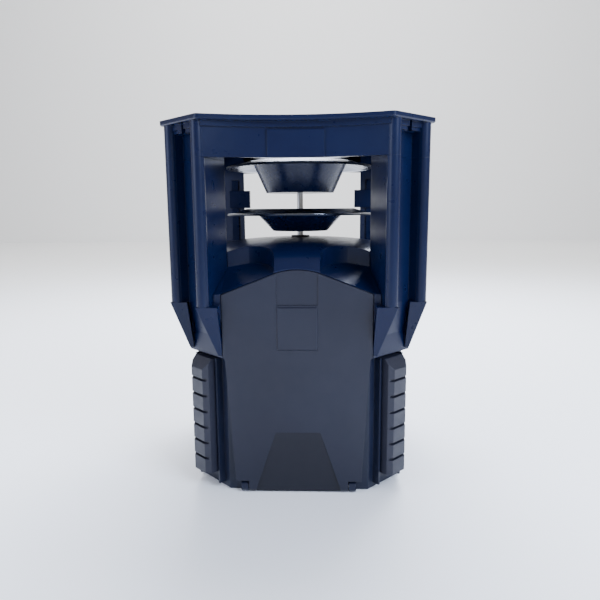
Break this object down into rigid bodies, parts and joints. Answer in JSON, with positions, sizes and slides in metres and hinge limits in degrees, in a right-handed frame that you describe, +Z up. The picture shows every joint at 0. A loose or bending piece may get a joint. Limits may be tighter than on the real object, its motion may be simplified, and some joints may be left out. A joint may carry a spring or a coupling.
{
  "type": "spinner feeder head",
  "caption": "Black moulded feeder head with a waisted hopper flange, a caged spinner of stacked polished plates and bowls, and a domed drive housing with a hinged door.",
  "frame": {"origin": "middle of the footprint, on the surface the lower housing stands on", "axes": "+Z up along the spinner shaft; the hinged door faces -Y; +X is to the right as the door is seen"},
  "size_m": [0.179, 0.179, 0.25],
  "materials": {
    "moulded_black": "blue-black fine-textured ABS moulding, satin",
    "moulded_inner": "plain black ABS moulding",
    "bowl_black": "smooth black moulded plastic with a soft gloss",
    "polished_steel": "bright polished sheet metal with a rolled edge",
    "shaft_steel": "ground steel rod",
    "zinc_steel": "bright zinc plate",
    "brass": "turned brass",
    "nylon": "black nylon bush",
    "seal_rubber": "soft foam rubber",
    "battery_case": "plain dark battery jacket",
    "board": "green solder mask",
    "screen_glass": "grey-green liquid crystal window",
    "button_grey": "grey rubber key cap"
  },
  "bodies": {
    "housing": {"adapter_screws": "zinc_steel", "base_screws": "zinc_steel", "battery": "battery_case", "battery_terminals": "brass", "dome_cover": "moulded_black", "door_hinge_pin": "shaft_steel", "door_seal": "seal_rubber", "equipment_deck": "moulded_inner", "hopper_adapter": "moulded_black", "lower_housing": "moulded_black", "motor": "zinc_steel", "motor_plate": "zinc_steel", "motor_screws": "zinc_steel", "rail_front_left": "moulded_black", "rail_front_right": "moulded_black", "rail_rear_left": "moulded_black", "rail_rear_right": "moulded_black", "shaft_bush": "nylon", "timer_board": "board", "timer_case": "moulded_inner", "timer_screen": "screen_glass", "upper_housing": "moulded_black"},
    "spinner": {"drive_shaft": "shaft_steel", "upper_plate": "polished_steel", "upper_bowl": "bowl_black", "upper_collar": "brass", "lower_plate": "polished_steel", "lower_bowl": "bowl_black", "lower_collar": "brass", "lock_nut": "zinc_steel", "shaft_coupler": "brass", "motor_stub_shaft": "shaft_steel"},
    "door": {"front_door": "moulded_black"},
    "button_mode": {"button_mode": "button_grey"},
    "button_set": {"button_set": "button_grey"},
    "button_test": {"button_test": "button_grey"}
  },
  "joints": [
    {"name": "spinner_spin", "type": "hinge", "parent": "housing", "child": "spinner", "pos_m": [0, 0, 0.17], "axis": [0, 0, 1], "continuous": true},
    {"name": "door_swing", "type": "hinge", "parent": "housing", "child": "door", "pos_m": [0, -0.0744, 0.004], "axis": [1, 0, 0], "range_deg": [0, 85]},
    {"name": "button_mode_press", "type": "slide", "parent": "housing", "child": "button_mode", "axis": [0, 1, 0], "range_m": [0, 0.0012], "stiffness_N_per_m": 300, "springref_m": -0.0005},
    {"name": "button_set_press", "type": "slide", "parent": "housing", "child": "button_set", "axis": [0, 1, 0], "range_m": [0, 0.0012], "stiffness_N_per_m": 300, "springref_m": -0.0005},
    {"name": "button_test_press", "type": "slide", "parent": "housing", "child": "button_test", "axis": [0, 1, 0], "range_m": [0, 0.0012], "stiffness_N_per_m": 300, "springref_m": -0.0005}
  ]
}
